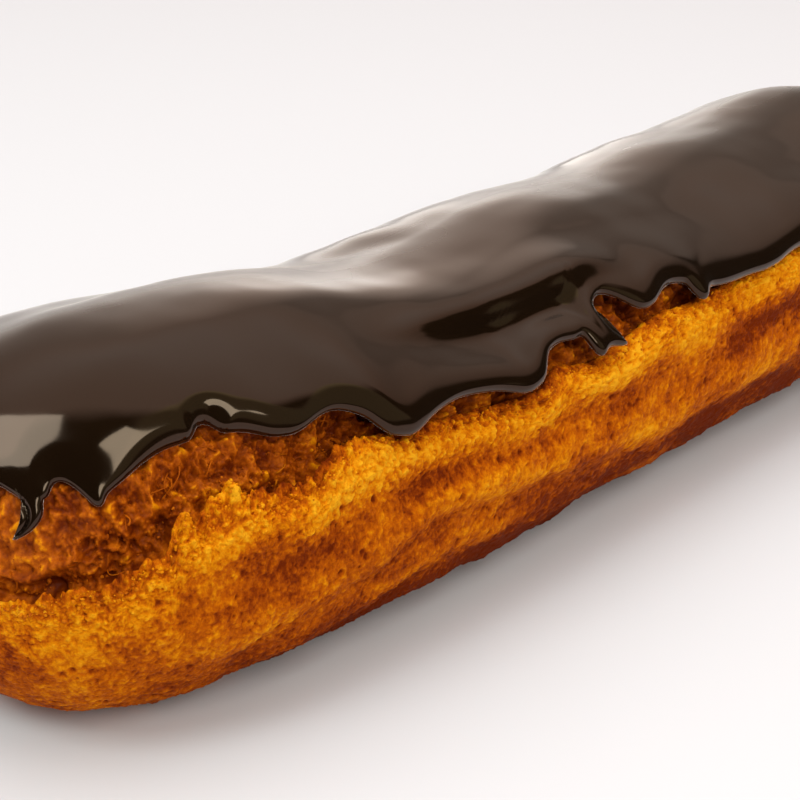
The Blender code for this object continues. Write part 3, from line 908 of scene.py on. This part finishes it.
def to_edge(points, outline):
    """Distance from each point to a closed line of points: in a straight line, and softened.

    The softened one comes from the sum over the line of the distances to the power -6, scaled to be
    exact beside a straight line, and has no creases where two stretches are equally near.
    """
    flat = points.reshape(-1, 3)
    span = np.linalg.norm(np.roll(outline, -1, axis=0) - np.roll(outline, 1, axis=0), axis=1) / 2
    nearest = np.empty(len(flat), dtype=int)
    soft = np.empty(len(flat))
    for start in range(0, len(flat), BATCH):
        part = flat[start:start + BATCH]
        gap = (part**2).sum(1)[:, None] + (outline**2).sum(1)[None, :] - 2.0 * part @ outline.T
        gap = np.maximum(gap, 1e-10)
        nearest[start:start + BATCH] = np.argmin(gap, axis=1)
        soft[start:start + BATCH] = ((0.375 * math.pi) / (gap**-3 @ span)) ** 0.2
    best = np.full(len(flat), 1.0)
    for turn in (-1, 1):
        a = outline[nearest]
        along = outline[(nearest + turn) % len(outline)] - a
        share = np.sum((flat - a) * along, axis=1) / np.maximum(np.sum(along**2, axis=1), 1e-18)
        foot = a + along * np.clip(share, 0.0, 1.0)[:, None]
        best = np.minimum(best, np.linalg.norm(flat - foot, axis=1))
    return best.reshape(points.shape[:-1]), soft.reshape(points.shape[:-1])


def icing_relief(x, angle):
    """Slow unevenness of the poured face, and the leaf-shaped step beside the finger-like drip: the face
    above it stands out, the face below it is sunken, and both fade away from it."""
    at = body_point(x, angle)
    slow = 0.16 * noise(at, 9 * MM, 41, (0.5, 1, 1)) + 0.07 * noise(at, 5 * MM, 43)
    centre = LEAF_ANGLE + LEAF_CLIMB * (x - LEAF_PLACE) / LEAF_REACH
    across = (angle - centre) / LEAF_WIDTH
    step = (0.2 + np.tanh(1.5 * across)) * np.exp(-((angle - centre) / LEAF_FADE)**2)
    return slow * MM + hump(x, LEAF_PLACE, LEAF_REACH, 4.0) * step * LEAF_DEPTH


def icing_section(place, reach, sizes):
    """Height of the icing's face at a distance from its edge: a quarter circle at the rim, a bank above
    it that levels out, and the rest of the thickness in a slow rise."""
    bank = sizes.bank_share * curve(place, BANK)
    rest = sizes.thickness - sizes.lift - sizes.rim_radius - bank
    return (sizes.lift + sizes.rim_radius * quarter(reach / sizes.rim_radius)
            + bank * (1.0 - (1.0 - np.clip(reach / sizes.bank_width, 0.0, 1.0))**2)
            + rest * ramp(reach / (4.0 * sizes.bank_width)))


def icing_settled(x, angle, reach):
    """How far the icing lies down into the plain body, where the crust is gone: all of it inside, and at
    the edge all of it over the burst and none elsewhere, where the edge hangs out over the lip."""
    burst = below(x, SETTLED_END, SETTLED_FADE) * ramp((SETTLED_TOP - angle) / SETTLED_TURN)
    return burst + (1.0 - burst) * ramp(reach / ICING_DESCENT)


def make_icing(sizes):
    """The icing: a closed shell with a wavy, dripping edge.

    Above its edge the section rounds up to the full thickness, and on the inner face a quarter circle
    turns under the edge.
    """
    place = icing_rings(sizes)[:, None]
    rim = 1.0 - np.cos(np.linspace(0, math.pi / 2, RIM_ROWS))[None, :]
    front_x, front = icing_grid(place, -1, rim)
    back_x, back = icing_grid(place, 1, rim[:, ::-1])
    across = np.linspace(0, 1, OVER_ROWS)[None, 1:-1]
    over_x = place + 0.0 * across
    over = front[:, -1:] + (back[:, :1] - front[:, -1:]) * across
    outer_x = np.concatenate([front_x, over_x, back_x], axis=1)
    outer = np.concatenate([front, over, back], axis=1)
    rows = outer.shape[1]
    keep = np.append(np.arange(0, rows - 1, INSIDE_STEP), rows - 1)[::-1][1:-1]
    x = np.concatenate([outer_x, outer_x[:, keep]], axis=1)
    angle = np.concatenate([outer, outer[:, keep]], axis=1)
    outside = (np.arange(x.shape[1]) < rows)[None, :]
    plain = body_point(x, angle)
    tips = body_point(np.array([icing_end(-1), icing_end(1)]), np.full(2, math.pi / 2))
    outline = np.concatenate([tips[:1], plain[:, 0], tips[1:], plain[::-1, rows - 1]])
    inside, soft = to_edge(plain, outline)
    reach = inside + (soft - inside) * ramp(inside / (1.2 * MM))
    settled = icing_settled(x, angle, reach) * fullness(x)
    outer_height = icing_section(place, reach, sizes)
    inner_height = sizes.lift * (1.0 - quarter(inside / sizes.lift))
    relief = icing_relief(x, angle) * ramp(reach / (4 * MM))
    height = np.where(outside, outer_height + relief, inner_height)
    points = raised(x, angle, GAP - ICING_THICKNESS * settled + height)
    ends = tips + np.array([0, 0, GAP + sizes.lift])
    dull = ramp((angle - DULL_START) / DULL_RISE) * ramp((DULL_END - angle) / DULL_RISE)
    return put_loft("icing", points, ends, icing_material(sizes), {"dull": dull}, 0.5)


def icing_material(sizes):
    """Dark chocolate icing: wet with gloss low down, dulled to satin along the top where it set first."""
    n = Nodes(bpy.data.materials.new("chocolate icing"))
    place = n.place()
    cloud = n.noise(place, 60, 3.0)
    colour = n.mix(n.remap(cloud, 0.35, 0.65), sizes.chocolate, [c * 1.25 for c in sizes.chocolate])
    relief = n.bump(n.noise(place, 90, 2.0), 0.05 * MM, 0.5)
    rough_face = n.remap(cloud, 0.3, 0.7, sizes.gloss, sizes.gloss * 1.5)
    rough_face = n.add(rough_face, n.attribute("dull"), sizes.satin)
    n.set(Base_Color=colour, Roughness=rough_face, Normal=relief)
    n.set(IOR=1.5, Specular_Tint=(1.0, 0.63, 0.48, 1.0))
    n.set(Sheen_Weight=1.0, Sheen_Roughness=0.22, Sheen_Tint=(1.0, 0.95, 0.92, 1.0))
    return n.owner


# ---------------------------------------------------------------- stage

CAMERA_PLACE = Vector((-121.6, -105.3, 89.3)) * MM
CAMERA_HEADING, CAMERA_PITCH = 45.5, -26.5
CAMERA_LENS, SENSOR_WIDTH = 68.1, 36.0
NEAREST_SEEN = 10 * MM
FLOOR_REACH = 6.0
LAMP_DISTANCE = 0.9

# Softboxes: name, heading and pitch, width and height in radians from the eclair, radiance, colour, roll
# about its own axis, and whether the icing mirrors it
SOFTBOXES = (("side", (171, 50.5), (0.40, 0.30), 6.6, (0.80, 1.0, 0.97), 42, True),
             ("spot", (-113.4, 42.5), (0.68, 0.26), 7.2, (0.82, 1.0, 0.90), -56.6, True),
             ("front fill", (-100, 38), (1.0, 0.8), 1.1, (1.0, 0.66, 0.64), 0, False),
             ("top fill", (45, 80), (1.2, 1.2), 1.0, (1.0, 0.98, 0.96), 0, False))

# Colours of the room's light: low down and overhead, at middle heights, and off the wall behind the camera
PALE_LIGHT = (1.0, 0.95, 0.89)
ROSY_LIGHT = (1.0, 0.80, 0.67)
OLIVE_LIGHT = (0.85, 0.90, 0.58)


def aim(item, place, ahead, roll=0.0):
    """Set a camera or a lamp down at a place, looking ahead, rolled by some degrees about that line."""
    item.matrix_world = (Matrix.Translation(place) @ ahead.to_track_quat("-Z", "Y").to_matrix().to_4x4()
                         @ Matrix.Rotation(math.radians(roll), 4, "Z"))


def make_camera():
    """A camera that looks down along the eclair from beyond its burst end."""
    data = bpy.data.cameras.new("camera")
    data.lens = CAMERA_LENS
    data.sensor_width = SENSOR_WIDTH
    data.clip_start = NEAREST_SEEN
    camera = put_object("camera", data)
    aim(camera, CAMERA_PLACE, heading_to(CAMERA_HEADING, CAMERA_PITCH))
    bpy.context.scene.camera = camera


def make_floor(settings):
    """A wide pale floor."""
    n = Nodes(bpy.data.materials.new("floor"))
    n.set(Base_Color=(*settings.floor, 1.0), Roughness=0.8, Specular_IOR_Level=0.1)
    side = FLOOR_REACH
    points = np.array([(-side, -side, 0), (side, -side, 0), (side, side, 0), (-side, side, 0)])
    put_mesh("floor", points, np.array([[0, 1, 2, 3]]), n.owner)


def make_world(settings):
    """The room that the icing mirrors, as light from each direction.

    Its far side is lit: a haze and a ceiling overhead, and a backdrop that is brightest low down and to
    the right.  The side behind the camera is dark but for one olive wall.  Each zone is a smooth step of
    how far the direction points along a heading or upwards, and zones are multiplied, or the stronger
    is taken.
    """
    n = Nodes(bpy.data.worlds.new("studio"), "Background")
    bpy.context.scene.world = n.owner
    direction = n.put("ShaderNodeTexCoord").outputs["Generated"]

    def zone(low, high, heading=None):
        """0 to 1 as the direction's part along a level heading, or upwards, goes from low to high."""
        axis = Vector((0, 0, 1)) if heading is None else heading_to(heading)
        along = n.put("ShaderNodeVectorMath", {0: direction, 1: axis}, operation="DOT_PRODUCT")
        return n.remap(along.outputs["Value"], low, high, shape="SMOOTHSTEP")

    def both(a, b):
        """Where one zone and another are."""
        return n.math("MULTIPLY", a, b)

    def either(a, b):
        """The stronger of two zones."""
        return n.math("MAXIMUM", a, b)

    far_side = either(zone(-0.04, 0.04, 49), zone(-0.02, 0.02, 74))
    far_side = either(far_side, both(zone(-0.34, -0.14, 49), zone(0.64, 0.80)))
    haze = both(n.math("MULTIPLY", zone(0.0, 0.45), 0.45), zone(-0.15, 0.05, 95))
    ceiling = both(zone(0.45, 0.56), n.add(0.60, zone(0.50, 0.85), 0.55))
    skyline = both(n.add(1.0, zone(0.30, 0.08), 1.5), n.add(0.6, zone(0.10, 0.45, -20), 0.9))
    backdrop = both(zone(-0.03, 0.40, 117), skyline)
    glow = both(either(either(haze, ceiling), backdrop), far_side)
    wall = both(zone(0.12, 0.22), zone(0.96, 0.90))
    wall = both(wall, both(zone(0.03, 0.10, -142), zone(-0.03, 0.10, -18)))
    strength = n.add(n.add(settings.dark, glow, settings.ceiling), wall, settings.wall)
    middle = both(zone(0.05, 0.30), zone(0.85, 0.62))
    n.set(Strength=strength, Color=n.mix(wall, n.mix(middle, PALE_LIGHT, ROSY_LIGHT), OLIVE_LIGHT))


def make_lights():
    """Two softboxes that the icing mirrors, and two broad fills that leave no reflection."""
    for name, direction, spans, radiance, colour, roll, mirrored in SOFTBOXES:
        data = bpy.data.lights.new(name, "AREA")
        data.shape = "RECTANGLE"
        data.size, data.size_y = [2 * LAMP_DISTANCE * math.tan(span / 2) for span in spans]
        data.energy = radiance * math.pi * data.size * data.size_y
        data.color = colour
        lamp = put_object(name, data)
        away = heading_to(*direction)
        aim(lamp, away * LAMP_DISTANCE, -away, roll)
        lamp.visible_glossy = mirrored


# ---------------------------------------------------------------- operators

def stand_for(item, node):
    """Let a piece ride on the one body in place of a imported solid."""
    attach(item, "root")
    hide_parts(node)


class ECLAIR_OT_crust(bpy.types.Operator):
    """Make the choux crust in three lengths"""

    bl_idname = "eclair.crust"
    bl_label = "Crust"

    def execute(self, context):
        settings = context.scene.eclair_crust
        joins = (-CRUST_END, *CRUST_JOINS, CRUST_END)
        for name, low, high in zip(CRUST_NAMES, joins, joins[1:]):
            stand_for(make_crust(settings, name, low, high), "choux")
        return {"FINISHED"}


class ECLAIR_OT_crumb(bpy.types.Operator):
    """Make the torn crumb behind the lip, with its threads and grains"""

    bl_idname = "eclair.crumb"
    bl_label = "Torn crumb"

    def execute(self, context):
        settings = context.scene.eclair_crust
        for item in (make_crumb(settings), make_strands(settings), make_bits(settings)):
            stand_for(item, "choux")
        return {"FINISHED"}


class ECLAIR_OT_icing(bpy.types.Operator):
    """Make the chocolate icing"""

    bl_idname = "eclair.icing"
    bl_label = "Icing"

    def execute(self, context):
        stand_for(make_icing(context.scene.eclair_icing), "icing")
        return {"FINISHED"}


class ECLAIR_OT_stage(bpy.types.Operator):
    """Make the floor, the lights and the camera"""

    bl_idname = "eclair.stage"
    bl_label = "Stage"

    def execute(self, context):
        settings = context.scene.eclair_stage
        make_floor(settings)
        make_world(settings)
        make_lights()
        make_camera()
        context.scene.view_settings.view_transform = "Standard"
        return {"FINISHED"}


class ECLAIR_PT_panel(bpy.types.Panel):
    """Lists the eclair's makers and their settings"""

    bl_idname = "ECLAIR_PT_panel"
    bl_label = "Eclair"
    bl_space_type = "VIEW_3D"
    bl_region_type = "UI"
    bl_category = "Eclair"

    def draw(self, context):
        for operator, group in MAKERS:
            settings = getattr(context.scene, group)
            box = self.layout.box()
            box.operator(operator)
            for key in settings.bl_rna.properties.keys():
                if key not in {"rna_type", "name"}:
                    box.prop(settings, key)


GROUPS = {"eclair_crust": EclairCrust, "eclair_icing": EclairIcing, "eclair_stage": EclairStage}
MAKERS = (("eclair.crust", "eclair_crust"), ("eclair.crumb", "eclair_crust"),
          ("eclair.icing", "eclair_icing"), ("eclair.stage", "eclair_stage"))
CLASSES = (*GROUPS.values(), ECLAIR_OT_crust, ECLAIR_OT_crumb, ECLAIR_OT_icing, ECLAIR_OT_stage,
           ECLAIR_PT_panel)


def register():
    for item in CLASSES:
        bpy.utils.register_class(item)
    for name, group in GROUPS.items():
        setattr(bpy.types.Scene, name, PointerProperty(type=group))


def unregister():
    for name in GROUPS:
        delattr(bpy.types.Scene, name)
    for item in reversed(CLASSES):
        bpy.utils.unregister_class(item)


def main():
    """Make the whole eclair."""
    register()
    bpy.ops.eclair.crust()
    bpy.ops.eclair.crumb()
    bpy.ops.eclair.icing()
    bpy.ops.eclair.stage()


if __name__ == "__main__":
    main()
